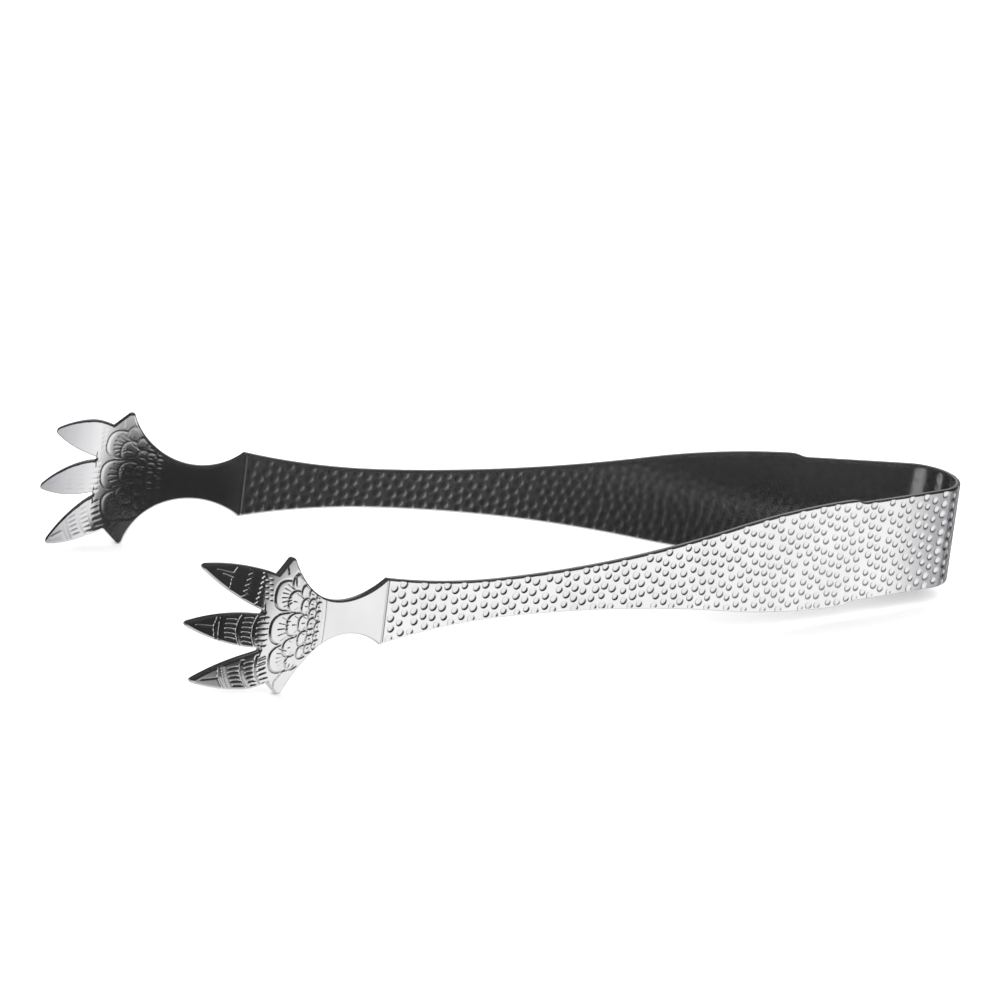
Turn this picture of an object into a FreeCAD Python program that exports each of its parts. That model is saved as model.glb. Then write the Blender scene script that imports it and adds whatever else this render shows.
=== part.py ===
"""Ice tongs: one strip of spring steel, bent into a bow at one end and pressed into claws at the other.

The strip stands on its edge. Its bow is a round bend about the Z axis, which is the origin. From the
bow a front (-Y) and a rear (+Y) side run towards -X. Each side is a wide leg, an arm that narrows to
a waist, and a claw: a narrow throat, a cupped palm with a spur at each edge, and three talons. The
strip is parted where it flexes (bow to leg, leg to arm) and where plain strip meets pressed claw.
"""
import FreeCAD, Part

import math
import os

import Sketcher

Vector = FreeCAD.Vector

# Every driving dimension: name, value in millimetres or degrees, and what it measures.
SIZES = (
    ("sheet_thick", 1.2, "thickness of the steel strip"),
    ("trim_margin", 4.0, "scrap left round each outline before it is trimmed"),
    ("flex_gap", 0.25, "gap at each flex line, so that the parts can turn"),
    ("bow_radius", 8.0, "radius of the bow at mid thickness"),
    ("bow_width", 20.4, "width of the strip round the bow"),
    ("arm_splay", 15.0, "degrees from the centre line at which a leg leaves the bow"),
    ("arm_bend", 5.1, "degrees that a side curves back in along the slow bend"),
    ("bend_length", 93.0, "length of the slow bend, from the end of the bow"),
    ("leg_length", 39.5, "from the end of the bow to the second flex line"),
    ("arm_length", 94.5, "from the second flex line to the shoulder"),
    ("swell_start", 20.2, "from the end of the bow to where the leg starts to widen"),
    ("swell_length", 3.9, "length of the widening"),
    ("swell_width", 21.9, "widest part of the leg"),
    ("swell_radius", 172.0, "curve of the edge past the widest part"),
    ("waist_place", 67.4, "from the second flex line to the narrowest part of the arm"),
    ("waist_width", 7.9, "narrowest part of the arm"),
    ("throat_place", 8.7, "from the shoulder to the narrowest part of the throat"),
    ("throat_width", 6.9, "narrowest part of the throat"),
    ("throat_curve", 13.6, "curve of the throat's edge, from shoulder to spur"),
    ("neck_radius", 69.0, "outward bend of the throat, seen on edge"),
    ("neck_bend", 14.1, "degrees of that bend"),
    ("palm_radius", 28.2, "arch of the palm, seen on edge"),
    ("palm_bend", 22.9, "degrees of that arch"),
    ("root_radius", 6.5, "tighter bend at the roots of the talons"),
    ("root_bend", 20.4, "degrees of that bend"),
    ("talon_radius", 110.0, "slight curl of the talons, seen on edge"),
    ("talon_bend", 12.0, "degrees of that curl, some of it trimmed off past the tips"),
    ("cup_radius", 59.0, "cup of the palm across its width, at mid thickness"),
    ("cup_sweep", 60.0, "degrees through which the cupped sheet is cut out of the blank"),
    ("spur_spread", 26.9, "from spur tip to spur tip"),
    ("root_place", 25.6, "from the shoulder to the outer corners of the talon roots"),
    ("root_spread", 21.3, "between those corners"),
    ("notch_place", 28.3, "from the shoulder to the notches between the talons"),
    ("notch_spread", 7.4, "between the two notches"),
    ("side_tip_place", 36.3, "from the shoulder to the tips of the side talons"),
    ("side_tip_spread", 22.4, "between the middles of those tips"),
    ("middle_tip_place", 38.3, "from the shoulder to the tip of the middle talon"),
    ("side_outer_curve", 14.8, "curve of a side talon's outer edge"),
    ("side_inner_curve", 21.4, "curve of a side talon's inner edge"),
    ("middle_curve", 14.6, "curve of the middle talon's edges"),
    ("tip_round", 0.5, "rounding of the talon and spur tips"),
    ("notch_round", 0.4, "rounding at the bottom of the notches"),
)

# Derived measures, as expressions over the sheet.
HALF_SHEET = "Sizes.sheet_thick / 2"
HALF_GAP = "Sizes.flex_gap / 2"
BEND_RADIUS = "(Sizes.bend_length / Sizes.arm_bend * 180 / pi)"
FLEX_HEADING = "(Sizes.arm_splay - Sizes.arm_bend * Sizes.leg_length / Sizes.bend_length)"
SHOULDER_HEADING = "(Sizes.arm_splay - Sizes.arm_bend)"
STRAIGHT_LENGTH = "(Sizes.leg_length + Sizes.arm_length - Sizes.bend_length)"
THROAT_CENTRE = "(Sizes.throat_width / 2 + Sizes.throat_curve)"
SHOULDER_HALF = "(" + THROAT_CENTRE + " - sqrt(Sizes.throat_curve ^ 2 - Sizes.throat_place ^ 2))"
NECK_DROP = "(Sizes.neck_radius * (1 - cos(Sizes.neck_bend)))"

document = FreeCAD.newDocument("ice_tongs")
sheet = document.addObject("Spreadsheet::Sheet", "Sizes")
for row, (alias, value, meaning) in enumerate(SIZES, start=1):
    sheet.set("A%d" % row, meaning)
    sheet.set("B%d" % row, str(value))
    sheet.setAlias("B%d" % row, alias)
document.recompute()


def number(expression):
    """The present value of an expression over the sheet."""
    return float(sheet.evalExpression(expression))


def bind(item, name, expression):
    """Bind a property to the sheet."""
    item.setExpression(name, expression)


def new_body(name, heading, x, y, side):
    """A body at (x, y), with its X axis along the strip and turned heading degrees off -X.

    side is 1 for the front (-Y) and -1 for the rear; outwards is then side * Y of the body.
    """
    body = document.addObject("PartDesign::Body", name)
    body.Label = name
    turn_axis = Vector(0, 0, -side)
    start = Vector(number(x), number(y), 0)
    body.Placement = FreeCAD.Placement(start, FreeCAD.Rotation(turn_axis, 180 - number(heading)))
    bind(body, "Placement.Base.x", x)
    bind(body, "Placement.Base.y", y)
    bind(body, "Placement.Rotation.Angle", "180 - " + heading)
    return body


def new_sketch(body, plane_role, name):
    """A sketch on one of the body's own origin planes."""
    sketch = body.newObject("Sketcher::SketchObject", name)
    plane = next(item for item in body.Origin.OriginFeatures if item.Role == plane_role)
    sketch.AttachmentSupport = [(plane, "")]
    sketch.MapMode = "FlatFace"
    return sketch


def constrain(sketch, kind, places, expression):
    """Add one dimension to a sketch and bind it to the sheet."""
    index = sketch.addConstraint(Sketcher.Constraint(kind, *places, number(expression)))
    bind(sketch, "Constraints[%d]" % index, expression)


def arc_about(centre, start, end, turn):
    """The arc about a centre, from start to end, that turns left (1) or right (-1)."""
    first, last = (start, end) if turn > 0 else (end, start)
    angles = [math.atan2(point.y - centre.y, point.x - centre.x) for point in (first, last)]
    if angles[1] < angles[0]:
        angles[1] += 2 * math.pi
    radius = (start - centre).Length
    return Part.ArcOfCircle(Part.Circle(centre, Vector(0, 0, 1), radius), *angles)


def curved_edge(start, end, radius, turn):
    """The arc of a radius between two corners, each (centre, radius, turn), and touching them.

    A sharp corner has radius 0. The arc's centre is the arc's radius away from a sharp corner, and
    less or more by a rounded corner's own radius, as the two turn the same way or opposite ways.
    """
    near, far = [radius - corner[1] * turn * corner[2] for corner in (start, end)]
    chord = end[0] - start[0]
    along = (near ** 2 - far ** 2 + chord.Length ** 2) / (2 * chord.Length)
    unit = chord / chord.Length
    left = Vector(-unit.y, unit.x, 0)
    centre = start[0] + unit * along + left * turn * math.sqrt(near ** 2 - along ** 2)
    touches = [centre + (corner[0] - centre).normalize() * radius for corner in (start, end)]
    return centre, touches


def straight_edge(start, end):
    """The ends of the straight line that touches two corners, each (centre, radius, turn)."""
    chord = end[0] - start[0]
    offsets = [corner[1] * corner[2] for corner in (start, end)]
    angle = math.atan2(chord.y, chord.x) - math.asin((offsets[1] - offsets[0]) / chord.Length)
    left = Vector(-math.sin(angle), math.cos(angle), 0)
    return [corner[0] - left * offset for corner, offset in zip((start, end), offsets)]


def locate(sketch, edge, point, place):
    """Place a point of an edge by its distances from the sketch's origin."""
    constrain(sketch, "DistanceX", (-1, 1, edge, point), place[0])
    constrain(sketch, "DistanceY", (-1, 1, edge, point), place[1])


def draw_loop(sketch, corners, curves):
    """Draw a closed loop round its corners.

    A sharp corner is (x, y) and a rounded one is (x, y, radius, turn), where x and y locate the
    rounding's centre. curves maps the number of an edge, counted from the corner where it starts,
    to (radius, turn); every other edge is straight. turn is 1 for left and -1 for right.
    """
    rounds = []
    for corner in corners:
        radius, turn = corner[2:] or ("0", 1)
        rounds.append((Vector(number(corner[0]), number(corner[1]), 0), number(radius), turn))
    edges = []
    touches = []
    for index, start in enumerate(rounds):
        end = rounds[(index + 1) % len(rounds)]
        if index in curves:
            radius, turn = curves[index]
            centre, ends = curved_edge(start, end, number(radius), turn)
            edge = sketch.addGeometry(arc_about(centre, *ends, turn), False)
            constrain(sketch, "Radius", (edge,), radius)
            edges.append((edge, 1, 2) if turn > 0 else (edge, 2, 1))
        else:
            ends = straight_edge(start, end)
            edges.append((sketch.addGeometry(Part.LineSegment(*ends), False), 1, 2))
        touches.append(ends)
    for index, (edge, start, _) in enumerate(edges):
        previous, _, end = edges[index - 1]
        if len(corners[index]) == 2:
            sketch.addConstraint(Sketcher.Constraint("Coincident", previous, end, edge, start))
            locate(sketch, edge, start, corners[index])
            continue
        radius, turn = corners[index][2:]
        arc = arc_about(rounds[index][0], touches[index - 1][1], touches[index][0], turn)
        rounding = sketch.addGeometry(arc, False)
        first, last = (1, 2) if turn > 0 else (2, 1)
        sketch.addConstraint(Sketcher.Constraint("Tangent", previous, end, rounding, first))
        sketch.addConstraint(Sketcher.Constraint("Tangent", rounding, last, edge, start))
        constrain(sketch, "Radius", (rounding,), radius)
        locate(sketch, rounding, 3, corners[index])


def draw_strip(sketch, heading, stretches, side):
    """Draw the strip seen on edge, from the body's origin, as a loop one sheet thick.

    heading is the first direction in degrees, measured from X towards the outside. Each stretch is
    (length expression,) for a straight, or (radius, degrees, turn) for a bend that turns outwards
    (1) or inwards (-1).
    """
    x, y = "0", "0"
    outside, inside = [], []
    outside_curves, inside_curves = {}, {}

    def add_pair():
        shift = (HALF_SHEET + " * sin(%s)" % heading, HALF_SHEET + " * cos(%s)" % heading)
        outside.append(("%s - %s" % (x, shift[0]), "%s + %s" % (y, shift[1])))
        inside.append(("%s + %s" % (x, shift[0]), "%s - %s" % (y, shift[1])))

    add_pair()
    for index, stretch in enumerate(stretches):
        if len(stretch) == 1:
            x = "%s + %s * cos(%s)" % (x, stretch[0], heading)
            y = "%s + %s * sin(%s)" % (y, stretch[0], heading)
        else:
            radius, degrees, turn = stretch
            sign = "+" if turn > 0 else "-"
            back = "-" if turn > 0 else "+"
            after = "(%s %s %s)" % (heading, sign, degrees)
            x = "%s %s %s * (sin(%s) - sin(%s))" % (x, sign, radius, after, heading)
            y = "%s %s %s * (cos(%s) - cos(%s))" % (y, back, radius, after, heading)
            heading = after
            outside_curves[index] = ("%s %s %s" % (radius, back, HALF_SHEET), turn)
            inside_curves[index] = ("%s %s %s" % (radius, sign, HALF_SHEET), turn)
        add_pair()
    corners = outside + inside[::-1]
    last = len(corners) - 2
    curves = dict(outside_curves)
    curves.update({last - index: (radius, -turn) for index, (radius, turn) in inside_curves.items()})
    if side < 0:
        corners = [(x, "-(%s)" % y) for x, y in corners]
        curves = {index: (radius, -turn) for index, (radius, turn) in curves.items()}
    draw_loop(sketch, corners, curves)


def whole_outline(edge, curves):
    """The loop whose upper edge is given, and whose lower edge is the same below the middle line."""
    lower = [(corner[0], "-(%s)" % corner[1]) + corner[2:] for corner in edge[::-1] if corner[1] != "0"]
    corners = edge + lower
    loop_curves = dict(curves)
    loop_curves.update({len(corners) - 2 - index: curve for index, curve in curves.items()})
    return corners, loop_curves


def rectangle(low_x, high_x, half_height):
    """The corners of a rectangle that is centred on the X axis."""
    low_y = "-(%s)" % half_height
    return [(low_x, low_y), (high_x, low_y), (high_x, half_height), (low_x, half_height)]


def check_cut(body, cut):
    """Recompute, and make sure that a cut has taken something off its body and left something."""
    before = cut.BaseFeature.Shape.Volume
    document.recompute()
    if not 0 < cut.Shape.Volume < before:
        raise RuntimeError("%s: %s cut nothing" % (body.Label, cut.Label))


def trim_to_outline(body, edge, curves, length, half_height):
    """Cut away everything between the outline and a rectangle round it, square to the strip."""
    sketch = new_sketch(body, "XZ_Plane", "Outline")
    high = "%s + 2 * Sizes.trim_margin" % length
    up = "%s + 2 * Sizes.trim_margin" % half_height
    draw_loop(sketch, rectangle("-2 * Sizes.trim_margin", high, up), {})
    draw_loop(sketch, *whole_outline(edge, curves))
    trim = body.newObject("PartDesign::Pocket", "Trim")
    trim.Profile = sketch
    trim.Type = "ThroughAll"
    trim.SideType = "Symmetric"
    check_cut(body, trim)


def pad_strip(body, heading, stretches, side, half_height):
    """Pad the strip, seen on edge, to more than its finished width."""
    sketch = new_sketch(body, "XY_Plane", "Side_view")
    draw_strip(sketch, heading, stretches, side)
    pad = body.newObject("PartDesign::Pad", "Strip")
    pad.Profile = sketch
    pad.SideType = "Symmetric"
    bind(pad, "Length", "2 * (%s + Sizes.trim_margin)" % half_height)
    document.recompute()


def make_bow():
    """The bow: the strip's section turned about the Z axis, open towards the claws."""
    body = document.addObject("PartDesign::Body", "bow")
    body.Label = "bow"
    sketch = new_sketch(body, "XZ_Plane", "Section")
    inner = "Sizes.bow_radius - " + HALF_SHEET
    outer = "Sizes.bow_radius + " + HALF_SHEET
    low, high = "-Sizes.bow_width / 2", "Sizes.bow_width / 2"
    draw_loop(sketch, [(inner, low), (outer, low), (outer, high), (inner, high)], {})
    bend = body.newObject("PartDesign::Revolution", "Bend")
    bend.Profile = sketch
    bend.ReferenceAxis = (sketch, ["V_Axis"])
    bend.Midplane = True
    bind(bend, "Angle", "180 - 2 * Sizes.arm_splay - Sizes.flex_gap / Sizes.bow_radius * 180 / pi")
    return body


def swell_edge(start, end, flex_place):
    """The upper edge of a side past its widening, from start to end, and its curves.

    Places are measured along the body; flex_place is where the second flex line is on it.
    """
    widest = "(%s - Sizes.leg_length + Sizes.swell_start + Sizes.swell_length)" % flex_place
    waist = "(%s + Sizes.waist_place)" % flex_place
    rise = "((Sizes.swell_width - Sizes.waist_width) / 2)"
    run = "(%s - %s)" % (waist, widest)
    both_radii = "((%s ^ 2 + %s ^ 2) / (2 * %s))" % (run, rise, rise)
    share = "(Sizes.swell_radius / %s)" % both_radii
    change = ("%s + %s * %s" % (widest, run, share), "Sizes.swell_width / 2 - %s * %s" % (rise, share))

    def on_swell(place):
        drop = "sqrt(Sizes.swell_radius ^ 2 - (%s - %s) ^ 2)" % (place, widest)
        return (place, "Sizes.swell_width / 2 - Sizes.swell_radius + " + drop)

    if end is not None:
        return [(widest, "Sizes.swell_width / 2"), on_swell(end)], {0: ("Sizes.swell_radius", -1)}
    return (
        [on_swell(start), change, (waist, "Sizes.waist_width / 2")],
        {0: ("Sizes.swell_radius", -1), 1: ("(%s - Sizes.swell_radius)" % both_radii, 1)},
    )


def make_leg(name, side):
    """A leg: the wide strip from the bow to the second flex line, with a sudden slight widening."""
    x = "Sizes.bow_radius * sin(Sizes.arm_splay) - %s * cos(Sizes.arm_splay)" % HALF_GAP
    y = "%d * (Sizes.bow_radius * cos(Sizes.arm_splay) + %s * sin(Sizes.arm_splay))" % (-side, HALF_GAP)
    body = new_body(name, "Sizes.arm_splay", x, y, side)
    half = "Sizes.swell_width / 2"
    length = "(Sizes.leg_length - Sizes.flex_gap)"
    sweep = "Sizes.arm_bend * %s / Sizes.bend_length" % length
    pad_strip(body, "0", [(BEND_RADIUS, sweep, -1)], side, half)
    past_end = "(Sizes.leg_length + Sizes.trim_margin)"
    swell, _ = swell_edge(None, past_end, "Sizes.leg_length")
    middle = (
        "Sizes.swell_start + Sizes.swell_length / 2",
        "(Sizes.bow_width + Sizes.swell_width) / 4",
    )
    edge = [
        ("-Sizes.trim_margin", "Sizes.bow_width / 2"),
        ("Sizes.swell_start", "Sizes.bow_width / 2"),
        middle,
    ] + swell
    step = "((Sizes.swell_width - Sizes.bow_width) / 2)"
    step_radius = "((Sizes.swell_length ^ 2 + %s ^ 2) / (4 * %s))" % (step, step)
    curves = {1: (step_radius, 1), 2: (step_radius, -1), 3: ("Sizes.swell_radius", -1)}
    trim_to_outline(body, edge, curves, "Sizes.leg_length", half)
    return body


def make_arm(name, side):
    """An arm: the strip from the second flex line, in to the waist and out to the shoulder."""
    bend_run = "%s * (sin(Sizes.arm_splay) - sin(%s))" % (BEND_RADIUS, FLEX_HEADING)
    bend_climb = "%s * (cos(%s) - cos(Sizes.arm_splay))" % (BEND_RADIUS, FLEX_HEADING)
    x = "Sizes.bow_radius * sin(Sizes.arm_splay) - %s - %s * cos(%s)" % (
        bend_run, HALF_GAP, FLEX_HEADING)
    y = "%d * (Sizes.bow_radius * cos(Sizes.arm_splay) + %s + %s * sin(%s))" % (
        -side, bend_climb, HALF_GAP, FLEX_HEADING)
    body = new_body(name, FLEX_HEADING, x, y, side)
    half = "Sizes.swell_width / 2"
    curved = "(Sizes.bend_length - Sizes.leg_length - %s)" % HALF_GAP
    sweep = "Sizes.arm_bend * %s / Sizes.bend_length" % curved
    pad_strip(body, "0", [(BEND_RADIUS, sweep, -1), (STRAIGHT_LENGTH,)], side, half)
    edge, curves = swell_edge("-Sizes.trim_margin", None, "0")
    past_end = "(Sizes.arm_length + Sizes.sheet_thick)"
    flare = "(Sizes.arm_length - Sizes.waist_place)"
    flare_rise = "(%s - Sizes.waist_width / 2)" % SHOULDER_HALF
    flare_radius = "((%s ^ 2 + %s ^ 2) / (2 * %s))" % (flare, flare_rise, flare_rise)
    edge += [("Sizes.arm_length", SHOULDER_HALF), (past_end, SHOULDER_HALF)]
    curves[2] = (flare_radius, 1)
    trim_to_outline(body, edge, curves, "Sizes.arm_length", half)
    return body


def make_claw(name, side):
    """A claw: its outline, with rounded tips, of which only the cupped sheet is left."""
    run = "(%s * cos(%s))" % (STRAIGHT_LENGTH, SHOULDER_HEADING)
    climb = "(%s * sin(%s))" % (STRAIGHT_LENGTH, SHOULDER_HEADING)
    bend_run = "%s * (sin(Sizes.arm_splay) - sin(%s))" % (BEND_RADIUS, SHOULDER_HEADING)
    bend_climb = "%s * (cos(%s) - cos(Sizes.arm_splay))" % (BEND_RADIUS, SHOULDER_HEADING)
    x = "Sizes.bow_radius * sin(Sizes.arm_splay) - %s - %s" % (bend_run, run)
    y = "%d * (Sizes.bow_radius * cos(Sizes.arm_splay) + %s + %s)" % (-side, bend_climb, climb)
    body = new_body(name, "(%s + Sizes.neck_bend)" % SHOULDER_HEADING, x, y, side)

    outline = new_sketch(body, "XZ_Plane", "Outline")
    start_half = "%s - sqrt(Sizes.throat_curve ^ 2 - (Sizes.throat_place + %s) ^ 2)" % (
        THROAT_CENTRE, HALF_SHEET)
    spur_z = "(Sizes.spur_spread / 2 - Sizes.tip_round)"
    reach = "sqrt((Sizes.throat_curve + Sizes.tip_round) ^ 2 - (%s - %s) ^ 2)" % (THROAT_CENTRE, spur_z)
    edge = [
        ("-" + HALF_SHEET, start_half),
        ("Sizes.throat_place + " + reach, spur_z, "Sizes.tip_round", -1),
        ("Sizes.root_place", "Sizes.root_spread / 2"),
        ("Sizes.side_tip_place - Sizes.tip_round", "Sizes.side_tip_spread / 2", "Sizes.tip_round", -1),
        ("Sizes.notch_place + Sizes.notch_round", "Sizes.notch_spread / 2", "Sizes.notch_round", 1),
        ("Sizes.middle_tip_place - Sizes.tip_round", "0", "Sizes.tip_round", -1),
    ]
    curves = {
        0: ("Sizes.throat_curve", 1),
        2: ("Sizes.side_outer_curve", -1),
        3: ("Sizes.side_inner_curve", -1),
        4: ("Sizes.middle_curve", -1),
    }
    draw_loop(outline, *whole_outline(edge, curves))
    half_depth = "(Sizes.middle_tip_place / 2 + Sizes.trim_margin)"
    blank = body.newObject("PartDesign::Pad", "Blank")
    blank.Profile = outline
    blank.SideType = "Symmetric"
    bind(blank, "Length", "2 * " + half_depth)
    document.recompute()

    section = new_sketch(body, "XY_Plane", "Side_view")
    axis_y = "%d * (%s + Sizes.cup_radius)" % (-side, NECK_DROP)
    axis_ends = [Vector(number(x), number(axis_y), 0) for x in ("0", "Sizes.middle_tip_place")]
    axis = section.addGeometry(Part.LineSegment(*axis_ends), True)
    section.addConstraint(Sketcher.Constraint("Horizontal", axis))
    constrain(section, "DistanceX", (-1, 1, axis, 1), "0")
    constrain(section, "DistanceX", (-1, 1, axis, 2), "Sizes.middle_tip_place")
    constrain(section, "DistanceY", (-1, 1, axis, 1), axis_y)
    high = "Sizes.middle_tip_place + Sizes.trim_margin"
    scrap = rectangle("-Sizes.trim_margin", high, half_depth + " + Sizes.trim_margin")
    draw_loop(section, scrap, {})
    stretches = [
        ("Sizes.neck_radius", "Sizes.neck_bend", 1),
        ("Sizes.palm_radius", "Sizes.palm_bend", -1),
        ("Sizes.root_radius", "Sizes.root_bend", -1),
        ("Sizes.talon_radius", "Sizes.talon_bend", -1),
    ]
    draw_strip(section, "(-Sizes.neck_bend)", stretches, side)
    cup = body.newObject("PartDesign::Groove", "Cup")
    cup.Profile = section
    cup.ReferenceAxis = (section, ["Axis0"])
    cup.Midplane = True
    bind(cup, "Angle", "Sizes.cup_sweep")
    check_cut(body, cup)
    return body


pieces = [make_bow()]
for place, side in (("front", 1), ("rear", -1)):
    pieces.append(make_leg(place + "_leg", side))
    pieces.append(make_arm(place + "_arm", side))
    pieces.append(make_claw(place + "_claw", side))
document.recompute()

for item in document.Objects:
    if "Invalid" in item.State or "Error" in item.State:
        raise RuntimeError("%s did not build: %s" % (item.Label, item.State))
for piece in pieces:
    if piece.Shape.isNull() or not piece.Shape.isValid() or len(piece.Shape.Solids) != 1:
        raise RuntimeError("%s is not one valid solid" % piece.Label)

os.makedirs("parts", exist_ok=True)
for piece in pieces:
    piece.Shape.exportStep("parts/%s.step" % piece.Label)
    box = piece.Shape.BoundBox
    print("%-12s %8.1f mm3  x %.2f %.2f  y %.2f %.2f  z %.2f %.2f" % (
        piece.Label, piece.Shape.Volume, box.XMin, box.XMax, box.YMin, box.YMax, box.ZMin, box.ZMax))
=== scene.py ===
import math
import bmesh
import bpy
import numpy as np
from mathutils import Matrix, Vector


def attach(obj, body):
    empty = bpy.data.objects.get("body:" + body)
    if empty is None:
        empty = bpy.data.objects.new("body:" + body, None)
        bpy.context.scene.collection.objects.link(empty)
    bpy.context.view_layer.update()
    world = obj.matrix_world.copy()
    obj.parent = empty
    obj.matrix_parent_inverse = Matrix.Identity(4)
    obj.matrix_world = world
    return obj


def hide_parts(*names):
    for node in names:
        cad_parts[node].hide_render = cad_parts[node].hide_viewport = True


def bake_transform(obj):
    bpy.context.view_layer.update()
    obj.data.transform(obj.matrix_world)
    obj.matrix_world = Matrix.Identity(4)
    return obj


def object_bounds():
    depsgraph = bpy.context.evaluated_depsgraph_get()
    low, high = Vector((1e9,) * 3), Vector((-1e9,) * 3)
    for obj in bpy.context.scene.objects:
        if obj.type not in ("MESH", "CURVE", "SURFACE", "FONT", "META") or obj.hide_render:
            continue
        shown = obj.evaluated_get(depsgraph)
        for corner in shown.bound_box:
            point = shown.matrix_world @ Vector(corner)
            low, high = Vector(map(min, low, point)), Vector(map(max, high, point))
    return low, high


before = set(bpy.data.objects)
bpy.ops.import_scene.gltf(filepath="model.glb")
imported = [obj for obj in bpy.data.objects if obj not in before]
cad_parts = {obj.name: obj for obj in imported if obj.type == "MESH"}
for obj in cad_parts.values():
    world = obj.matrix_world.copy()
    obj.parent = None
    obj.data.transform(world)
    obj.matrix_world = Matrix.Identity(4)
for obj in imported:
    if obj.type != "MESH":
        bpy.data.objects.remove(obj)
cad_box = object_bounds()


# ---- Camera -------------------------------------------------------------------------------------
# A long lens at the front left, a little above, looking down along the bow with a small roll.
camera_data = bpy.data.cameras.new("camera")
camera_data.sensor_width = 36
camera_data.lens = 281.2
camera_data.clip_end = 20
camera = bpy.data.objects.new("camera", camera_data)
camera_right = Vector((0.90597, -0.40621, 0.11918))
camera_up = Vector((0.02943, 0.34130, 0.93949))
camera_back = camera_right.cross(camera_up)
camera.matrix_world = Matrix.Translation((-0.72383, -1.27157, 0.48984)) @ Matrix(
    (camera_right, camera_up, camera_back)).transposed().to_4x4()
bpy.context.scene.collection.objects.link(camera)
bpy.context.scene.camera = camera
bpy.context.scene.view_settings.view_transform = "Standard"


# ---- Floor and light ----------------------------------------------------------------------------
# A plain pale table in even white light. The steel mirrors a wide soft light low down in front,
# a weaker one further to the right, two narrow ones that catch the upper edges and the inside of
# the bow, the pale table from below, and the dark rest of the room.
def add_node(tree, kind, inputs=(), **settings):
    """Add a node with its settings; an input takes a value, or is linked to an output socket."""
    node = tree.nodes.new(kind)
    for key, value in settings.items():
        setattr(node, key, value)
    for key, value in dict(inputs).items():
        if isinstance(value, bpy.types.NodeSocket):
            tree.links.new(value, node.inputs[key])
        else:
            node.inputs[key].default_value = value
    return node


def linear(code):
    """A hex sRGB colour as linear RGBA."""
    shares = [int(code[at:at + 2], 16) / 255 for at in (1, 3, 5)]
    return [s / 12.92 if s < 0.04045 else ((s + 0.055) / 1.055) ** 2.4 for s in shares] + [1]


def aim(azimuth, elevation):
    """The unit vector at an azimuth, from +X towards +Y, and an elevation, in degrees."""
    a, e = math.radians(azimuth), math.radians(elevation)
    return (math.cos(a) * math.cos(e), math.sin(a) * math.cos(e), math.sin(e))


floor_size = 6
floor_height = cad_box[0][2]
floor_mesh = bpy.data.meshes.new("table")
floor_mesh.from_pydata([(x * floor_size, y * floor_size, floor_height)
                        for x, y in ((-1, -1), (1, -1), (1, 1), (-1, 1))], [], [(0, 1, 2, 3)])
floor = bpy.data.objects.new("table", floor_mesh)
floor.visible_glossy = False
bpy.context.scene.collection.objects.link(floor)
# A pale matt table top.
pale_table = bpy.data.materials.new("pale_matt_table")
pale_table.use_nodes = True
table_shader = pale_table.node_tree.nodes["Principled BSDF"]
table_shader.inputs["Base Color"].default_value = linear("#f4f4f4")
table_shader.inputs["Roughness"].default_value = 0.9
floor_mesh.materials.append(pale_table)

# Each soft light: where it is, the half-angles where it is full and where it ends, its strength.
soft_lights = (
    (aim(-38, -32), 20, 42, 1.3),
    (aim(36, -24), 14, 42, 0.5),
    (aim(60, 26), 8, 30, 0.3),
    (aim(152, -22), 6, 24, 0.5),
    (aim(0, -90), 42, 62, 0.85),
)
room_glow = 0.022
even_white = 1.7
studio = bpy.data.worlds.new("studio")
studio.use_nodes = True
room = studio.node_tree
room.nodes.clear()
direction = add_node(room, "ShaderNodeTexCoord").outputs["Generated"]
total = None
for place, full, end, strength in soft_lights:
    facing = add_node(room, "ShaderNodeVectorMath", {0: direction, 1: place},
                      operation="DOT_PRODUCT")
    share = add_node(room, "ShaderNodeMapRange", {
        "Value": facing.outputs["Value"],
        "From Min": math.cos(math.radians(end)), "From Max": math.cos(math.radians(full)),
        "To Min": 0.0, "To Max": strength}, interpolation_type="SMOOTHSTEP").outputs["Result"]
    total = share if total is None else add_node(
        room, "ShaderNodeMath", {0: total, 1: share}, operation="MAXIMUM").outputs["Value"]
mirrored = add_node(room, "ShaderNodeMath", {0: total, 1: room_glow},
                    operation="ADD").outputs["Value"]
ray = add_node(room, "ShaderNodeLightPath")
strength = add_node(room, "ShaderNodeMix", {
    "Factor": ray.outputs["Is Glossy Ray"], "A": even_white, "B": mirrored}).outputs["Result"]
glow = add_node(room, "ShaderNodeBackground", {"Color": (1, 1, 1, 1), "Strength": strength})
add_node(room, "ShaderNodeOutputWorld", {"Surface": glow.outputs["Background"]})
bpy.context.scene.world = studio


# ---- Bow and legs -------------------------------------------------------------------------------
# One strip of stainless steel, 1.2 mm thick, bent on edge into a bow that is the spring. It is
# punched all over its outside with shallow round dimples, which show faintly inside.
# Each side is one piece from the middle of the bow to the middle of its leg.
MM = 0.001
bow_radius = 8.0
arm_splay = 15.0
half_sheet = 0.6
bow_arc = bow_radius * math.radians(90 - arm_splay)
bend_end = bow_arc + 93.0
shoulder = bow_arc + 134.0
# An arc's length is its radius times its turn.
neck_radius, neck_turn = 69.0, math.radians(14.1)
neck_end = shoulder + neck_radius * neck_turn
palm_end = neck_end + 28.2 * math.radians(22.9)
root_end = palm_end + 6.5 * math.radians(20.4)
talon_end = root_end + 110.0 * math.radians(12.0)
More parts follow.
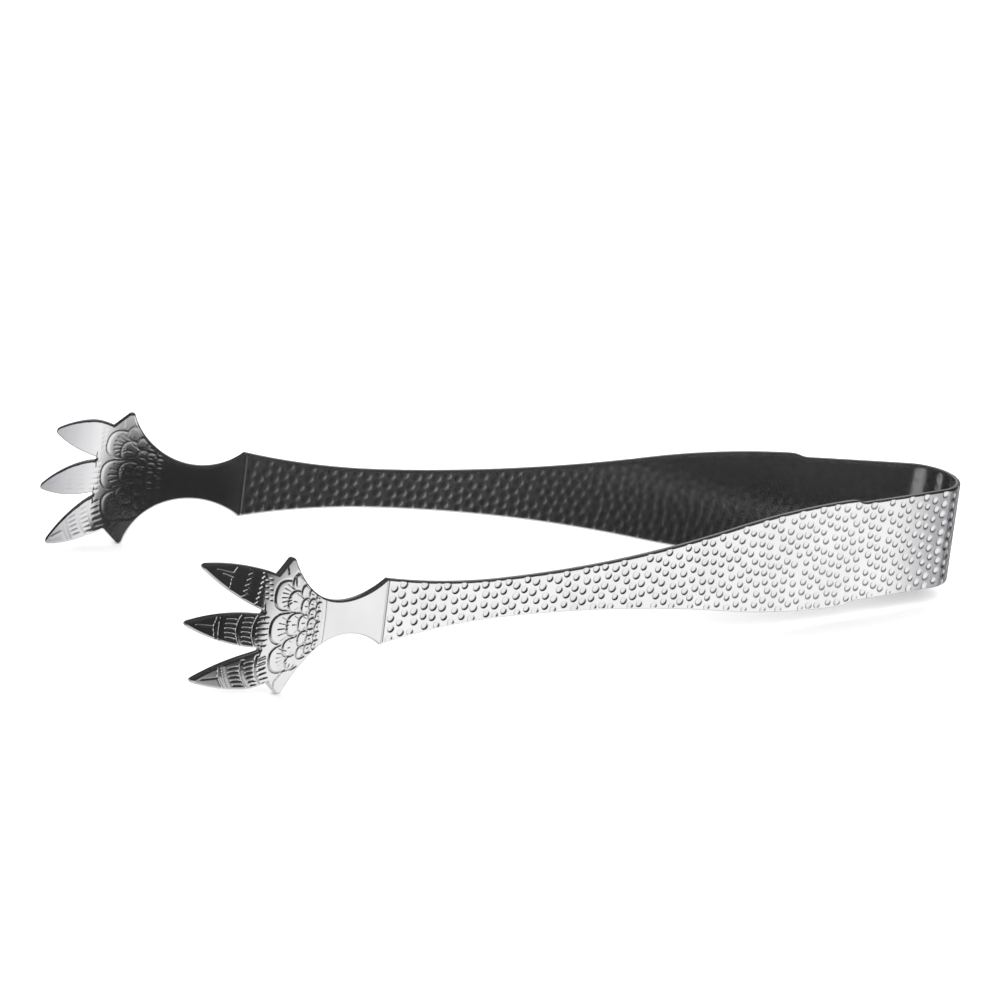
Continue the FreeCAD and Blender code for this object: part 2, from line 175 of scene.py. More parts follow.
# Where the strip's direction changes, and its direction there in degrees from -X outwards.
turning_places = (0, bow_arc, bend_end, shoulder, neck_end, palm_end, root_end, talon_end)
turning_headings = (90, 15, 9.9, 9.9, 24.0, 1.1, -19.3, -31.3)
trace_count = 9001
trace_places = np.linspace(0, talon_end, trace_count)
trace_headings = np.radians(np.interp(trace_places, turning_places, turning_headings))
trace_step = trace_places[1]
trace_middles = (trace_headings[1:] + trace_headings[:-1]) / 2
trace_x = bow_radius - np.append(0, np.cumsum(np.cos(trace_middles))) * trace_step
trace_y = np.append(0, np.cumsum(np.sin(trace_middles))) * trace_step


def on_strip(place, depth):
    """x and outward y at a place along the strip's middle line and a distance outwards from it.

    The middle line is the running sum of the direction's cosine and sine; the distance goes along
    its normal, a quarter turn outwards.
    """
    heading = np.interp(place, trace_places, trace_headings)
    return (np.interp(place, trace_places, trace_x) + depth * np.sin(heading),
            np.interp(place, trace_places, trace_y) + depth * np.cos(heading))


# Half widths of the strip, and where they are along it from the end of the bow's arc.
half_bow, half_swell, half_waist, shoulder_rise = 10.2, 10.95, 3.95, 2.647
step_start, widest, waist, flare_run = 20.2, 24.1, 106.9, 27.1
swell_radius = 172.0
# No arc is that long; the limit keeps the roots real.
arc_reach = 60


def half_width(place):
    """Half the strip's width: even, a quick S step up, a long swell, in to the waist, out again.

    Each arc is a radius less the root of radius squared less distance squared. The swell's and
    the waist's arcs share a tangent, so their radii add up to the chord squared over twice the
    narrowing, and they meet where the chord is shared as the radii are.
    """
    from_bow = place - bow_arc
    step = np.clip((from_bow - step_start) / (widest - step_start), 0, 1)
    stepped = half_bow + (half_swell - half_bow) * np.where(
        step < 0.5, 2 * step ** 2, 1 - 2 * (1 - step) ** 2)
    past_widest = np.clip(from_bow - widest, 0, arc_reach)
    swelled = half_swell - swell_radius + np.sqrt(swell_radius ** 2 - past_widest ** 2)
    run, narrowing = waist - widest, half_swell - half_waist
    both_radii = (run ** 2 + narrowing ** 2) / (2 * narrowing)
    waist_radius = both_radii - swell_radius
    to_waist = np.clip(waist - from_bow, 0, arc_reach)
    waisted = half_waist + waist_radius - np.sqrt(waist_radius ** 2 - to_waist ** 2)
    flare_radius = (flare_run ** 2 + shoulder_rise ** 2) / (2 * shoulder_rise)
    past_waist = np.clip(from_bow - waist, 0, arc_reach)
    flared = half_waist + flare_radius - np.sqrt(flare_radius ** 2 - past_waist ** 2)
    change = widest + run * swell_radius / both_radii
    return np.where(from_bow < widest, stepped, np.where(
        from_bow < change, swelled, np.where(from_bow < waist, waisted, flared)))


# Columns of dimples go across the strip, and end just short of the shoulder.
dimple_columns = 62
dimple_end = shoulder - 0.85
dimple_pitch = dimple_end / dimple_columns
dimple_radius = 0.86
dimple_spacing = 2.12
dimple_depth = 0.17
dimple_power = 3.5
smallest_share, largest_share = 0.86, 1.1
loose_along, loose_up = 0.75, 0.5
edge_clear = 0.75
seam_clear = 1.0
across_pitch = 1.95
column_most = 12
push_rounds, push_share = 24, 0.3
# The seam between a spring and an arm runs between two columns of dimples.
leg_columns = 13
leg_seam = leg_columns * dimple_pitch
# Further than any distance that matters, and the place of a dimple that isn't punched.
far_off = 9.0
nowhere = 1e3


def punch_dimples(seed):
    """Centres and radii of the dimples: columns across, every other one half a step down.

    A column holds as many as its width has room for. Each dimple is moved at random, less at the
    bow's middle and at the shoulder, and then those nearer than the spacing push each other
    apart, inside the edges and clear of the seams.
    """
    rng = np.random.default_rng(seed)
    column = np.arange(dimple_columns)[:, None]
    row = np.arange(column_most)[None, :]
    place = (column + 0.5) * dimple_pitch
    room = half_width(place) - edge_clear
    count = np.floor(2 * room / across_pitch) + 1
    step = 2 * room / count
    height = -room + step * (row + np.where(column % 2, 0.25, 0.75))
    loose = np.clip((column - 3) / 4, 0.25, 1) * np.clip((dimple_columns - column) / 2, 0.25, 1)
    punched = row < count
    places = (place + rng.uniform(-loose_along, loose_along, height.shape) * loose)[punched]
    heights = (height + rng.uniform(-loose_up, loose_up, height.shape) * loose)[punched]
    after_seam = (column + 0 * row)[punched] * dimple_pitch >= leg_seam - 0.1
    nearest = np.where(after_seam, leg_seam, 0) + seam_clear
    furthest = np.where(after_seam, dimple_end - edge_clear, leg_seam - seam_clear)
    for _ in range(push_rounds):
        aside = places[:, None] - places[None, :]
        above = heights[:, None] - heights[None, :]
        gap = np.hypot(aside, above) + far_off * np.eye(len(places))
        push = push_share * np.clip(dimple_spacing / gap - 1, 0, 1)
        places = np.clip(places + (push * aside).sum(axis=1), nearest, furthest)
        limit = half_width(places) - edge_clear
        heights = np.clip(heights + (push * above).sum(axis=1), -limit, limit)
    tables = [np.full(punched.shape, nowhere), np.full(punched.shape, nowhere)]
    tables[0][punched] = places
    tables[1][punched] = heights
    radii = dimple_radius * rng.uniform(smallest_share, largest_share, punched.shape)
    return *tables, radii


def dimple_share(place, height, dimples):
    """1 less the power of distance over radius, so nearly flat in the middle, and 0 outside.

    Each point looks at the dimples of its own column across the strip and of those beside it.
    """
    nearest = np.full(place.shape, far_off)
    own = np.floor(place / dimple_pitch).astype(int)
    for beside in (-1, 0, 1):
        column = np.clip(own + beside, 0, dimple_columns - 1)
        for row in range(column_most):
            reach = np.hypot(place - dimples[0][column, row], height - dimples[1][column, row])
            nearest = np.minimum(nearest, reach / dimples[2][column, row])
    return np.clip(1 - nearest ** dimple_power, 0, 1)


edge_rounding = 0.42
edge_steps = np.array([0, 0.02, 0.07, 0.15, 0.27, 0.42])
# A strip narrower than this has its close lines in proportion.
narrow_strip = 1.5
sharp_angle = math.radians(50)


def across(low, high, count):
    """Heights across a strip from low to high: even, with close lines at each rounded edge."""
    inset = np.minimum(1, (high - low) / narrow_strip)[:, None] * edge_steps[None, :]
    inner_low, inner_high = low + inset[:, -1], high - inset[:, -1]
    even = np.linspace(0, 1, count)[None, :]
    middle = inner_low[:, None] + (inner_high - inner_low)[:, None] * even
    upper = (high[:, None] - inset[:, :-1])[:, ::-1]
    return np.hstack([low[:, None] + inset[:, :-1], middle, upper])


def sheet_share(distance):
    """How much of the half sheet is left at a distance from its edge: a quarter circle."""
    short = np.clip(edge_rounding - distance, 0, edge_rounding)
    return 1 - (edge_rounding - np.sqrt(edge_rounding ** 2 - short ** 2)) / half_sheet


def grid_faces(rows, columns, first):
    """The quads of a grid of points whose numbers start at first, row by row."""
    corner = first + np.arange(rows - 1)[:, None] * columns + np.arange(columns - 1)[None, :]
    corner = corner.ravel()
    return np.stack([corner, corner + 1, corner + columns + 1, corner + columns], axis=1)


def rim_faces(one, other):
    """The quads between two lines of points."""
    return np.stack([one[:-1], one[1:], other[1:], other[:-1]], axis=1)


def build_piece(name, points, faces, painted_shade, material):
    """Make the object: the faces turned outwards if the volume they enclose comes out negative."""
    quads = np.array([face for face in faces if len(face) == 4])
    a, b, c, d = (points[quads[:, corner]] for corner in range(4))
    volume = np.sum(np.cross(b - a, c - a) * (a + b + c), axis=1) + np.sum(
        np.cross(c - a, d - a) * (a + c + d), axis=1)
    if volume.sum() < 0:
        faces = [face[::-1] for face in faces]
    mesh = bpy.data.meshes.new(name)
    mesh.from_pydata((points * MM).tolist(), [], faces)
    # The painted shade of each point goes into an attribute that the steel reads.
    mesh.attributes.new("painted_shade", "FLOAT", "POINT").data.foreach_set(
        "value", np.asarray(painted_shade, np.float32))
    mesh.materials.append(material)
    mesh.shade_smooth()
    mesh.set_sharp_from_angle(angle=sharp_angle)
    piece = bpy.data.objects.new(name, mesh)
    bpy.context.scene.collection.objects.link(piece)
    return piece


# Painted shade: the outside of the bend is painted darker between the dimples, where its curve
# turns from the light. It fades along the leg.
bend_fade, bend_lead = 15.0, 1.5
bend_shade = 0.95
# Painted shade in the dimples: they are painted a little darker.
dimple_shade = 0.1
# The line cut across the strip at the shoulder, and the painted shade in its groove.
line_shade = 0.4
line_depth, line_width, line_inset = 0.13, 0.17, 0.3
# How far the dimples and the line stand out inside.
inner_dimple, inner_line = 0.03, 0.02
row_step = 0.17


def strip_piece(name, side, start, end, outer_columns, inner_columns, dimples, material):
    """A closed length of strip: an outside grid, an inside grid, two rims and two end faces."""
    rows = int(round((end - start) / row_step)) + 1
    place = np.linspace(start, end, rows)
    width = half_width(place)
    grids, painted_shade = [], []
    for face, columns in ((1, outer_columns), (-1, inner_columns)):
        height = across(-width, width, columns)
        places = np.repeat(place[:, None], height.shape[1], axis=1)
        left = sheet_share(width[:, None] - np.abs(height))
        share = dimple_share(places, height, dimples)
        line = np.exp(-((places - (shoulder - line_inset)) / line_width) ** 2)
        if face > 0:
            depth = half_sheet * left - dimple_depth * share - line_depth * line
        else:
            depth = -half_sheet * left - inner_dimple * share ** 1.5 - inner_line * line
        x, y = on_strip(places, depth)
        grids.append(np.stack([x, side * y, height], axis=2))
        # Painted shade: darker at the bend on the outside, and in the dimples and the shoulder
        # line's groove.
        bent = np.clip((bow_arc + bend_fade - places) / (bend_fade + bend_lead), 0, 1)
        bend_shading = bend_shade * bent ** 2 * (3 - 2 * bent) * (1 - share)
        painted_shade.append(share * dimple_shade + (line_shade * line + bend_shading if face > 0 else 0))
    outer, inner = grids
    points = np.concatenate([outer.reshape(-1, 3), inner.reshape(-1, 3)])
    outer_count = outer[..., 0].size
    outside = np.arange(outer_count).reshape(outer.shape[:2])
    inside = outer_count + np.arange(inner[..., 0].size).reshape(inner.shape[:2])
    faces = np.concatenate([
        grid_faces(*outer.shape[:2], 0),
        grid_faces(*inner.shape[:2], outer_count)[:, ::-1],
        rim_faces(outside[:, 0], inside[:, 0]),
        rim_faces(outside[:, -1], inside[:, -1])[:, ::-1]]).tolist()
    faces.append(outside[0].tolist()[::-1] + inside[0].tolist())
    faces.append(outside[-1].tolist() + inside[-1].tolist()[::-1])
    return build_piece(name, points, faces, np.concatenate([w.ravel() for w in painted_shade]), material)


# The sizes of the grain and of the cloudiness from handling, in millimetres.
grain = 0.12
handling = 9.0
# How far full painted shade takes the colour towards the darker tone.
painted_shade_share = 0.85


def satin_stainless(name, bright, dark_tone):
    """Stainless steel with a satin rolled finish: a fine grain, painted shade darkening the places
    the mesh marks, and a faint cloudiness from handling.
    """
    steel = bpy.data.materials.new(name)
    steel.use_nodes = True
    tree = steel.node_tree
    shader = tree.nodes["Principled BSDF"]
    shader.inputs["Metallic"].default_value = 1.0
    places = add_node(tree, "ShaderNodeTexCoord").outputs["Object"]
    # The rolling grain is about 0.3 mm long and 0.05 mm wide; it is drawn coarse enough to show.
    drawn = add_node(tree, "ShaderNodeMapping", {"Vector": places, "Scale": (0.25, 1, 1)})
    fine = add_node(tree, "ShaderNodeTexNoise", {
        "Vector": drawn.outputs["Vector"], "Scale": 1 / (grain * MM),
        "Detail": 2.0}).outputs["Fac"]
    handled = add_node(tree, "ShaderNodeTexNoise", {
        "Vector": places, "Scale": 1 / (handling * MM), "Detail": 3.0}).outputs["Fac"]
    # Painted shade from the mesh's attribute, plus the handling cloud, mixes the colour towards
    # the darker tone.
    painted_shade = add_node(tree, "ShaderNodeAttribute", attribute_name="painted_shade").outputs["Fac"]
    painted_darkening = add_node(tree, "ShaderNodeMath", {0: painted_shade, 1: painted_shade_share},
                      operation="MULTIPLY", use_clamp=True)
    cloud = add_node(tree, "ShaderNodeMapRange", {
        "Value": handled, "From Min": 0.3, "From Max": 0.7, "To Min": 0.0, "To Max": 0.1})
    toned = add_node(tree, "ShaderNodeMath", {
        0: painted_darkening.outputs["Value"], 1: cloud.outputs["Result"]}, operation="ADD", use_clamp=True)
    tint = add_node(tree, "ShaderNodeMix", {
        "Factor": toned.outputs["Value"], "A": linear(bright), "B": linear(dark_tone)},
        data_type="RGBA")
    tree.links.new(tint.outputs["Result"], shader.inputs["Base Color"])
    rough = add_node(tree, "ShaderNodeMapRange", {
        "Value": fine, "From Min": 0.3, "From Max": 0.7, "To Min": 0.15, "To Max": 0.21})
    tree.links.new(rough.outputs["Result"], shader.inputs["Roughness"])
    bump = add_node(tree, "ShaderNodeBump", {
        "Height": fine, "Strength": 0.06, "Distance": 0.02 * MM})
    tree.links.new(bump.outputs["Normal"], shader.inputs["Normal"])
    return steel


# Satin stainless steel of the dimpled strip; its darker tone is for the painted shade and the
# handling cloud.
dimpled_steel = satin_stainless("satin_stainless_dimpled", "#dddcdc", "#88868c")
sides = (("front", -1), ("rear", 1))
dimple_layouts = {side: punch_dimples(41 + side) for _, side in sides}
# Each side bends where its leg starts, over this much of the strip either way.
# How many columns go across a spring piece, outside and inside.
spring_columns = (88, 40)
for side_name, side in sides:
    spring = strip_piece(side_name + "_spring", side, 0.0, leg_seam, *spring_columns,
                         dimple_layouts[side], dimpled_steel)
    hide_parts(side_name + "_leg", *(["bow"] if side < 0 else []))
    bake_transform(spring)


# ---- Arms ---------------------------------------------------------------------------------------
# The same strip from the middle of the leg to the shoulder, narrowing to the waist. A straight
# line is cut across it at the shoulder.
arm_columns = (84, 34)
for side_name, side in sides:
    arm = strip_piece(side_name + "_dimpled_arm", side, leg_seam, shoulder, *arm_columns,
                      dimple_layouts[side], dimpled_steel)
    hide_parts(side_name + "_arm")
    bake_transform(arm)


# ---- Claws --------------------------------------------------------------------------------------
# The end of the strip, stamped to a plain throat and a cupped palm with two spurs and three
# pointed talons. Scales, rays, nails and bands of short strokes are pressed into its outside,
# and show softly inside.
# Along the claw u is the reach from the shoulder and z the height; n is the height of the strip
# over the cup's axis, which is parallel to u.
claw_heading = math.radians(24.0)
claw_origin = on_strip(shoulder, 0)
cup_centre = 59.0 + neck_radius * (1 - math.cos(neck_turn))
throat = (8.7, 17.05)
throat_radius = 13.6
round_tip = 0.75
notch = (28.7, 3.7)
round_notch = 0.4
root_corner = (25.6, 10.65)
side_tip = (35.55, 11.1)
middle_tip = (37.55, 0.0)
# The radii of the talons' edges.
side_outer, side_inner, middle_curve = 14.8, 21.4, 14.6


def reach_from(near, near_reach, far, far_reach, turn):
    """The point at two distances from two points, left (1) or right (-1) of their line."""
    chord = math.dist(near, far)
    along = (near_reach ** 2 - far_reach ** 2 + chord ** 2) / (2 * chord)
    off = turn * math.sqrt(near_reach ** 2 - along ** 2)
    unit = ((far[0] - near[0]) / chord, (far[1] - near[1]) / chord)
    return (near[0] + along * unit[0] - off * unit[1], near[1] + along * unit[1] + off * unit[0])


def touch(centre, point, radius):
    """The point of a circle about a centre that is towards a point."""
    away = math.dist(centre, point)
    return tuple(c + (p - c) * radius / away for c, p in zip(centre, point))


spur_height = 12.7
spur = (throat[0] + math.sqrt((throat_radius + round_tip) ** 2 - (throat[1] - spur_height) ** 2),
        spur_height)
spur_start = touch(throat, spur, throat_radius)[0]
spur_slope = math.atan2(root_corner[1] - spur[1], root_corner[0] - spur[0]) - math.asin(
    round_tip / math.dist(spur, root_corner))
spur_end = spur[0] - round_tip * math.sin(spur_slope)
outer_centre = reach_from(root_corner, side_outer, side_tip, side_outer - round_tip, -1)
outer_end = touch(outer_centre, side_tip, side_outer)[0]
inner_centre = reach_from(notch, side_inner + round_notch, side_tip, side_inner - round_tip, 1)
inner_start = touch(inner_centre, notch, side_inner)[0]
inner_end = touch(inner_centre, side_tip, side_inner)[0]
middle_centre = reach_from(
    notch, middle_curve + round_notch, middle_tip, middle_curve - round_tip, -1)
middle_start = touch(middle_centre, notch, middle_curve)[0]
middle_end = touch(middle_centre, middle_tip, middle_curve)[0]
notch_bottom = notch[0] - round_notch


def arc(u, centre, radius, way):
    """The height of a circle at u, above (1) or below (-1) its centre."""
    return centre[1] + way * np.sqrt(np.maximum(radius ** 2 - (u - centre[0]) ** 2, 0))


def top_edge(u):
    """The claw's upper edge: throat circle, rounded spur, slope, outer edge of a talon."""
    slope = root_corner[1] + (root_corner[0] - u) * math.tan(-spur_slope)
    return np.select(
        [u < spur_start, u < spur_end, u < root_corner[0], u < outer_end],
        [arc(u, throat, throat_radius, -1), arc(u, spur, round_tip, 1), slope,
         arc(u, outer_centre, side_outer, 1)],
        arc(u, side_tip, round_tip, 1))


def split_line(u):
    """The line that parts the palm into lanes for the talons, in step with the upper edge."""
    return notch[1] * top_edge(u) / top_edge(np.array([notch_bottom]))[0]


def side_low_edge(u):
    """A side talon's edge towards the middle one, and the lane's own line before the notch."""
    return np.select(
        [u <= notch_bottom, u < inner_start, u < inner_end],
        [split_line(u), arc(u, notch, round_notch, 1), arc(u, inner_centre, side_inner, -1)],
        arc(u, side_tip, round_tip, -1))


def middle_edge(u):
    """Half the middle talon's width, and the lane's own line before the notch."""
    return np.select(
        [u <= notch_bottom, u < middle_start, u < middle_end],
        [split_line(u), arc(u, notch, round_notch, -1), arc(u, middle_centre, middle_curve, 1)],
        arc(u, middle_tip, round_tip, 1))


def strokes(u, z, lines, width):
    """1 on the nearest straight stroke, falling as the bell curve of distance over width."""
    nearest = np.full(u.shape, far_off)
    for u0, z0, u1, z1 in lines:
        du, dz = u1 - u0, z1 - z0
        along = np.clip(((u - u0) * du + (z - z0) * dz) / (du * du + dz * dz + 1e-9), 0, 1)
        nearest = np.minimum(nearest, np.hypot(u - u0 - along * du, z - z0 - along * dz))
    return np.exp(-(nearest / width) ** 2)


def zigzag(start, end, teeth, size):
    """The strokes of a zigzag line between two points."""
    count = 2 * teeth
    steps = np.arange(count + 1) / count
    offset = size * np.where(np.arange(count + 1) % 2, 1, -1)
    length = math.dist(start, end)
    across_u, across_z = (end[1] - start[1]) / length, -(end[0] - start[0]) / length
    u = start[0] + (end[0] - start[0]) * steps + offset * across_u
    z = start[1] + (end[1] - start[1]) * steps + offset * across_z
    return list(zip(u[:-1], z[:-1], u[1:], z[1:]))


def banded_talon(tip, tilt):
    """The strokes of a talon with a nail, two cross bars and three bands of short strokes.

    They are laid out along the talon, from its tip, and turned by its tilt.
    """
    lines = [(1.3, 0.1, 3.4, 0.15), (3.4, 0.15, 3.8, 2.2), (3.4, 0.15, 3.7, -2.2),
             (4.2, 2.4, 4.05, 0), (4.05, 0, 4.2, -2.4)]
    for bar, half in ((6.3, 3.1), (8.4, 3.5)):
        q = np.linspace(-half, half, 7)
        p = bar + 0.075 * q ** 2
        lines += list(zip(p[:-1], q[:-1], p[1:], q[1:]))
    for start, end, heights in (
            (4.9, 5.8, (-1.8, -0.9, 0, 0.9, 1.8)), (7.1, 7.9, (-2.3, -1.4, -0.45, 0.45, 1.4, 2.3)),
            (9.1, 10.2, (-2.7, -1.65, -0.55, 0.55, 1.65, 2.7))):
        lines += [(start + 0.05 * q ** 2, q, end + 0.05 * q ** 2, q * 1.06) for q in heights]
    cosine, sine = math.cos(math.radians(tilt)), math.sin(math.radians(tilt))
    return [(tip[0] - p0 * cosine - q0 * sine, tip[1] - p0 * sine + q0 * cosine,
             tip[0] - p1 * cosine - q1 * sine, tip[1] - p1 * sine + q1 * cosine)
            for p0, q0, p1, q1 in lines]


# Each scale: its rounded front, the middle of its height, half its height, its tilt, its rays.
scales = [
    (27.0, 0.25, 3.05, 0, 5), (26.3, 7.2, 2.85, 12, 6), (26.3, -6.3, 2.85, -12, 6),
    (22.5, 9.5, 1.5, 24, 2), (22.6, -7.3, 1.6, -22, 2),
    (23.7, 0.8, 2.25, 0, 3), (23.6, 5.6, 2.1, 10, 3), (23.9, -3.9, 1.85, -8, 3),
    (20.6, 7.2, 1.3, 16, 2), (20.5, -5.3, 1.3, -14, 2),
    (21.1, 0.8, 1.65, 0, 3), (20.6, 4.2, 1.6, 8, 3), (20.8, -2.5, 1.45, -8, 2)]
scales += [(18.7, z, 1.08, 2 * z, 1) for z in (6.3, -4.6, 4.3, -2.7, 2.3, -0.8, 0.4)]
scales += [(16.8, z, 0.95, 2 * z, 1) for z in (5.2, -4.2, 3.4, -2.4, 1.6, -0.6)]
spur_lines = [(23.9, 13.0, 23.6, 10.7), (22.0, 9.9, 21.9, 8.2), (24.0, -12.3, 24.3, -10.6),
              (24.3, -10.6, 23.1, -8.8), (22.1, -8.6, 21.7, -7.2)]
base_strokes = [(27.5, z, 28.2, z * 1.03) for z in (-2.7, -1.6, -0.5, 0.6, 1.7, 2.8)]
base_strokes += [(27.0, z, 27.3, z + 0.1) for z in (6.0, 7.0, 8.0, 9.0, 9.9)]
base_strokes += [(27.8, z, 28.1, z + 0.1) for z in (6.4, 7.4, 8.5, 9.6)]
base_strokes += [(27.0, z, 28.3, z - 0.5) for z in (-5.4, -6.5, -7.6, -8.7, -9.7)]
upper_talon = [(34.6, 11.0, 32.6, 10.6), (32.6, 10.6, 31.9, 12.0), (33.9, 10.3, 32.8, 9.8),
               (32.8, 9.8, 33.1, 7.8)]
upper_talon += zigzag((30.1, 11.6), (31.3, 6.3), 5, 0.26)
upper_talon += zigzag((28.2, 11.0), (29.6, 5.2), 6, 0.2)
talon_marks = banded_talon((38.3, 0.0), 0) + banded_talon((36.3, -11.2), -19)
# How deep and how wide the marks are pressed, in millimetres.
ground_depth = 0.05
groove_deep, groove_wide, groove_out = 0.17, 0.17, 0.04
ray_press, spur_press, base_press = (0.17, 0.13), (0.18, 0.17), (0.16, 0.16)
talon_press, upper_press = (0.24, 0.19), (0.2, 0.17)
# A scale's slope from its back to its front, its rise inside the groove, and the step before it.
scale_slope, scale_rise, scale_step = 0.12, 0.04, 0.06
scale_power = 2.5
# Rays fan out by this many degrees either way, about a point this many half heights back.
ray_fan, ray_squeeze, ray_centre = 34, 0.92, 2.0
# The pattern's start, and two lines across the throat: place, depth and width.
pattern_start, pattern_ease = 15.2, 0.5
throat_line, palm_line = (14.0, 0.1, 0.16), (15.1, 0.05, 0.3)
# How much wider and how much fainter the pattern is inside.
inside_spread, inside_loss = 0.9, 0.8


def pressed_depth(u, z, soft):
    """How deep the pattern is pressed at (u, z), in millimetres; soft is 0 outside and 1 inside.

    A scale rises steeply behind the groove round its front, and slopes down to the next one. Its
    front is an ellipse of a higher power, so the distance from it is that power's root, less one,
    times half the scale's height. The later, smaller scales lie over the earlier ones.
    """
    spread = 1 + inside_spread * soft
    depth = ground_depth * np.ones_like(u)
    rays = []
    for front, middle, half, tilt, count in scales:
        cosine, sine = math.cos(math.radians(tilt)), math.sin(math.radians(tilt))
        back = -((u - front) * cosine + (z - middle) * sine)
        over = -(u - front) * sine + (z - middle) * cosine
        ahead = np.clip(half - back, 0, None)
        size = ((ahead / half) ** scale_power
                + (np.abs(over) / half) ** scale_power) ** (1 / scale_power)
        outside = (size - 1) * half
        beyond = outside >= groove_out
        groove = np.exp(-((outside - groove_out) / (groove_wide * spread)) ** 2)
        body = scale_slope * np.clip(back / (1.6 * half), 0, 1)
        body += scale_rise * np.clip(size, 0, 1) ** 4
        shape = groove_deep * groove + np.where(beyond, scale_step, body)
        cover = np.clip((0.3 - outside) / 0.16, 0, 1)
        cover *= np.clip((1.75 * half - back) / (0.5 * half), 0, 1)
        depth = depth * (1 - cover) + shape * cover
        turns = np.radians(np.linspace(-ray_fan, ray_fan, count)) if count > 1 else np.zeros(1)
        near, far = (0.5, 1.15) if count > 3 else (0.55, 1.0)
        for turn in turns:
            ends = []
            for share in (near, far):
                p = half * (ray_centre - (ray_centre - share) * math.cos(turn))
                q = half * (ray_centre - share) * math.sin(turn) * ray_squeeze
                ends += [front - p * cosine - q * sine, middle - p * sine + q * cosine]
            rays.append(tuple(ends))
    depth *= np.clip((u - pattern_start) / pattern_ease, 0, 1)
    for lines, (deep, wide) in ((rays, ray_press), (spur_lines, spur_press),
                                (base_strokes, base_press), (talon_marks, talon_press),
                                (upper_talon, upper_press)):
        depth = np.maximum(depth, deep * strokes(u, z, lines, wide * spread))
    for (at, deep, wide), widening in ((throat_line, spread), (palm_line, 1)):
        depth = np.maximum(depth, deep * np.exp(-((u - at) / (wide * widening)) ** 2))
    return depth * (1 - inside_loss * soft)


cup_growth = 8.0
# The talons are drawn down from the inside to about two thirds of the sheet at their tips.
drawn_share, drawn_run = 0.62, 9.0


def claw_surface(u, z, face, side, left, pressed):
    """A point of the claw: the strip's middle line seen on edge, turned about the cup's own axis.

    The line's height over the axis is n; turning it gives the root of (n + centre) squared less z
    squared, less centre. The cupping grows from nothing at the shoulder.
    """
    edges = []
    keep = trace_places > shoulder - 1
    for offset in (half_sheet, -half_sheet):
        x, y = on_strip(trace_places[keep], offset)
        dx, dy = x - claw_origin[0], y - claw_origin[1]
        along = -dx * math.cos(claw_heading) + dy * math.sin(claw_heading)
        above = dx * math.sin(claw_heading) + dy * math.cos(claw_heading)
        edges.append(np.interp(u, along, above))
    middle, half = (edges[0] + edges[1]) / 2, (edges[0] - edges[1]) / 2
    drawn = drawn_share * np.clip((u - notch_bottom) / drawn_run, 0, 1) if face < 0 else 0
    n = middle + half * (face * left * (1 - drawn) - pressed / half_sheet)
    grown = np.clip(u / cup_growth, 0, 1)
    cupped = z * np.sqrt(grown * grown * (3 - 2 * grown))
    n = np.sqrt((n + cup_centre) ** 2 - cupped ** 2) - cup_centre
    x = claw_origin[0] - u * math.cos(claw_heading) + n * math.sin(claw_heading)
    y = claw_origin[1] + u * math.sin(claw_heading) + n * math.cos(claw_heading)
    return np.stack([x, side * y, z], axis=-1)


palm_start = 13.5
throat_step, talon_step = 0.45, 0.125
palm_count, notch_count, tip_count = 120, 6, 9


def lane_rows(tip):
    """Places along a lane: far apart on the throat, close on the palm, closer at notch and tip."""
    throat_rows = np.arange(0, palm_start, throat_step)
    palm_rows = np.linspace(palm_start, notch_bottom, palm_count)
    notch_rows = notch_bottom + round_notch * np.linspace(0, 1, notch_count)[1:] ** 2
    talon = tip - round_tip - notch[0]
    talon_rows = np.linspace(notch[0], tip - round_tip, int(talon / talon_step))[1:]
    tip_rows = tip - round_tip * (1 - np.linspace(0, 1, tip_count)[1:]) ** 2
    return np.concatenate([throat_rows, palm_rows, notch_rows, talon_rows, tip_rows])


def edge_distance(edge, z, u, way):
    """Distance from a free edge: the height from it times the cosine of the edge's slope."""
    slope = np.gradient(edge, u)
    return way * (edge[:, None] - z) / np.sqrt(1 + slope ** 2)[:, None]


def weld(mesh):
    """Join the points where lanes meet and where a tip closes to a point."""
    work = bmesh.new()
    work.from_mesh(mesh)
    bmesh.ops.remove_doubles(work, verts=work.verts, dist=1e-6)
    work.to_mesh(mesh)
    work.free()


side_columns, middle_columns = 62, 64
# The notch's round bottom is an edge this far behind its centre. The pattern fades at edges.
notch_reach, edge_fade = 0.2, 0.25
# At the shoulder the faces start square to the strip, which is turned from the claw's direction.
shear, shear_run = 0.146, 3.0
# Painted shade: the deepest press is painted darkest; the drawn talons are painted darker still
# inside, at their tips.
deepest, outside_shade, inside_shade, tip_shade = 0.24, 0.5, 0.1, 0.75


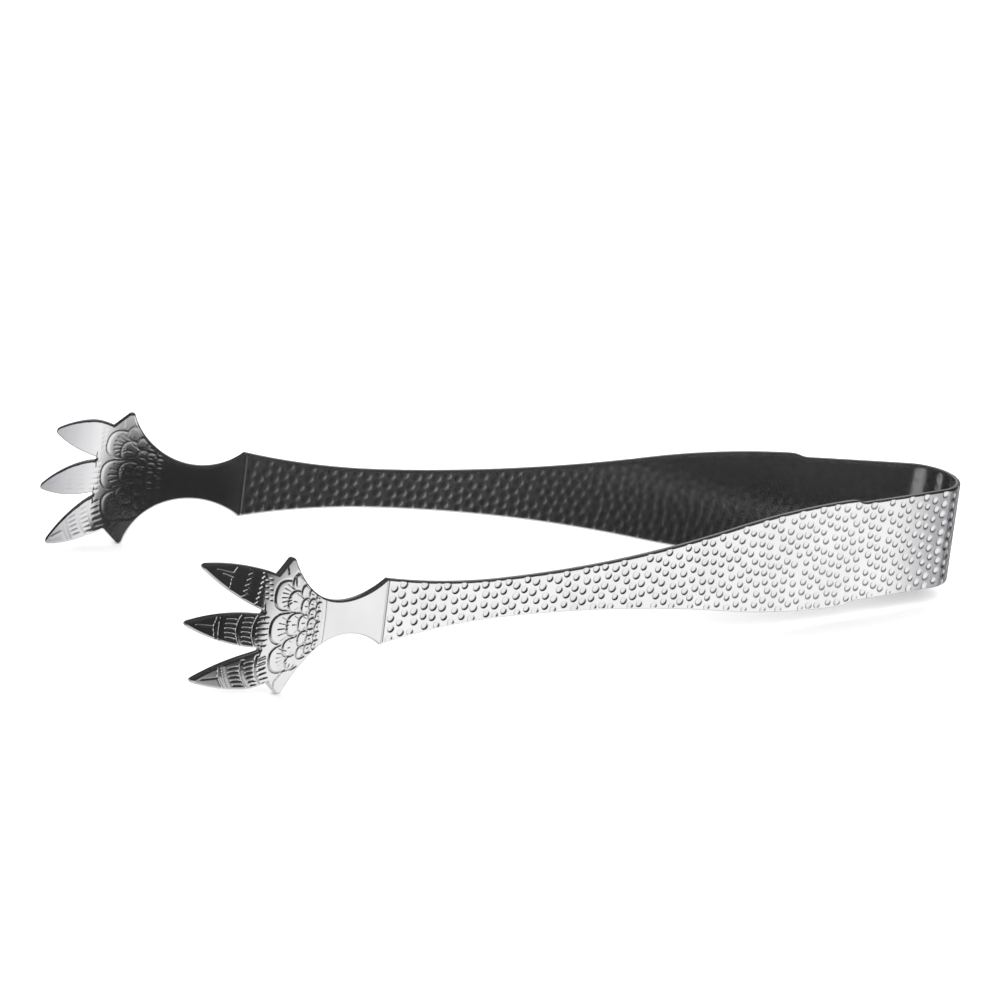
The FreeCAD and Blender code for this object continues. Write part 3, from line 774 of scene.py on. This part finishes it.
def claw_piece(name, side, material):
    """The closed claw: three lanes, each an outside and an inside grid with rims at free edges."""
    points, painted_shade, faces, first = [], [], [], 0
    for lane, tip in ((1, side_tip), (0, middle_tip), (-1, side_tip)):
        u = lane_rows(tip[0] + round_tip)
        if lane:
            low, high = side_low_edge(u), top_edge(u)
            z = across(*((low, high) if lane > 0 else (-high, -low)), side_columns)
        else:
            high = middle_edge(u)
            low = -high
            z = across(low, high, middle_columns)
        past = (u >= notch_bottom)[:, None]
        uu = np.repeat(u[:, None], z.shape[1], axis=1)
        to_notch = np.hypot(uu - notch[0], np.abs(z) - notch[1]) - round_notch
        tall = np.abs(z) if lane else z
        inner_low = edge_distance(low, tall, u, -1)
        outer_high = edge_distance(high, tall, u, 1)
        from_low = np.where(past, inner_low, far_off)
        from_high = outer_high if lane else np.where(past, outer_high, far_off)
        distance = np.minimum(from_low, from_high)
        near_notch = uu < notch[0] - notch_reach
        distance = np.where(near_notch, np.minimum(distance, to_notch), distance)
        left = sheet_share(np.clip(distance, 0, None))
        sheared = shear * np.clip(1 - uu / shear_run, 0, 1)
        grids = []
        for face, soft in ((1, 0), (-1, 1)):
            fade = np.clip(distance / edge_fade, 0, 1)
            pressed = pressed_depth(uu, z, soft) * fade
            grids.append(claw_surface(uu + face * sheared, z, face, side, left, pressed))
            # Painted shade: pressed marks darker the deeper they are, and the insides of the
            # talons darker towards their tips.
            dark_tone = outside_shade if face > 0 else inside_shade
            drawn = tip_shade * soft * np.clip((uu - notch_bottom) / drawn_run, 0, 1)
            painted_shade.append((dark_tone * np.clip(pressed / deepest, 0, 1) ** 2 + drawn).ravel())
        rows, columns = z.shape
        count = rows * columns
        points += [grid.reshape(-1, 3) for grid in grids]
        outer = first + np.arange(count).reshape(rows, columns)
        inner = outer + count
        at_notch = np.searchsorted(u, notch_bottom - 1e-6)
        low_rim = rim_faces(outer[:, 0], inner[:, 0])
        high_rim = rim_faces(outer[:, -1], inner[:, -1])[:, ::-1]
        if lane >= 0:
            low_rim = low_rim[at_notch:]
        if lane <= 0:
            high_rim = high_rim[at_notch:]
        faces += [grid_faces(rows, columns, first),
                  grid_faces(rows, columns, first + count)[:, ::-1], low_rim, high_rim,
                  rim_faces(outer[0], inner[0])[:, ::-1], rim_faces(outer[-1], inner[-1])]
        first += 2 * count
    piece = build_piece(name, np.concatenate(points), np.concatenate(faces).tolist(),
                        np.concatenate(painted_shade), material)
    weld(piece.data)
    return piece


# The same steel where it is pressed; its darker tone is painted shade in the hollows.
pressed_steel = satin_stainless("satin_stainless_pressed", "#d6d5d6", "#74727a")
for side_name, side in sides:
    claw = claw_piece(side_name + "_taloned_claw", side, pressed_steel)
    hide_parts(side_name + "_claw")
    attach(claw, side_name + "_arm")
